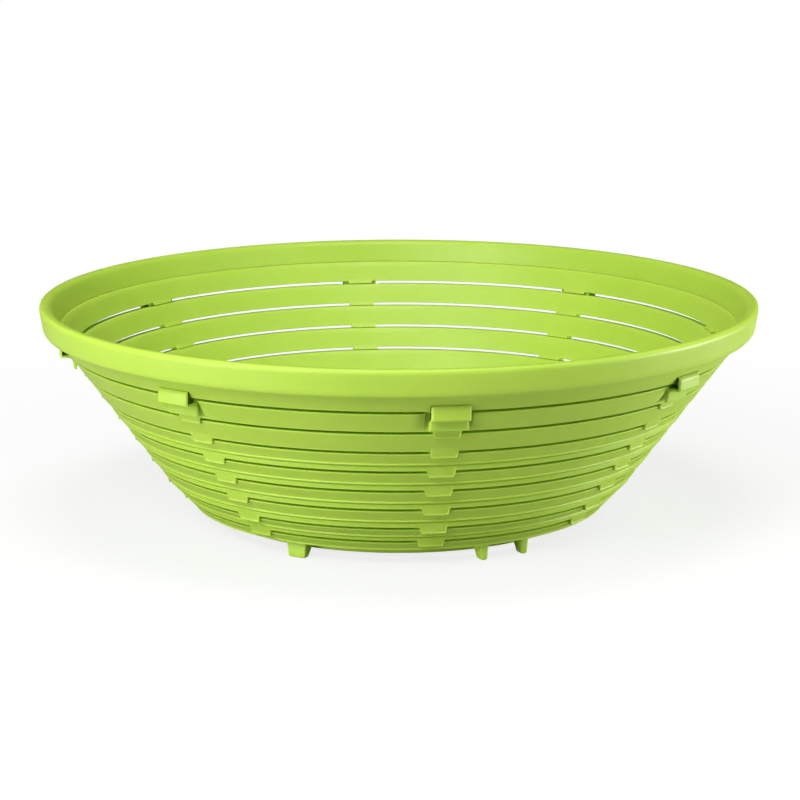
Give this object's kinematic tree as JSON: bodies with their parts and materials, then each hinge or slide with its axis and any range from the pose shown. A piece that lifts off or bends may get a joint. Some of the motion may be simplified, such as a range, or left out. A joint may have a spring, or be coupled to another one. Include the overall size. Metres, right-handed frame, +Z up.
{
  "type": "plastic proofing basket",
  "caption": "Round plastic proofing basket with a skirted rim, stepped slotted wall rings joined by columns of tabs, and a slotted floor on short feet; holds bread dough while it rises.",
  "frame": {"origin": "on the table under the centre of the basket, level with the feet", "axes": "+Z up through the mouth, -Y towards one of the columns of lugs and tabs"},
  "size_m": [0.2594, 0.2594, 0.0802],
  "materials": {
    "lime_plastic": "lime green polypropylene, satin, with a fine moulded grain"
  },
  "bodies": {
    "root": {"rim": "lime_plastic", "collar": "lime_plastic", "wall_ring_1": "lime_plastic", "wall_ring_2": "lime_plastic", "wall_ring_3": "lime_plastic", "wall_ring_4": "lime_plastic", "wall_ring_5": "lime_plastic", "wall_ring_6": "lime_plastic", "wall_ring_7": "lime_plastic", "base_ring": "lime_plastic", "floor_ring_1": "lime_plastic", "floor_ring_2": "lime_plastic", "floor_ring_3": "lime_plastic", "floor_disc": "lime_plastic"}
  },
  "joints": []
}
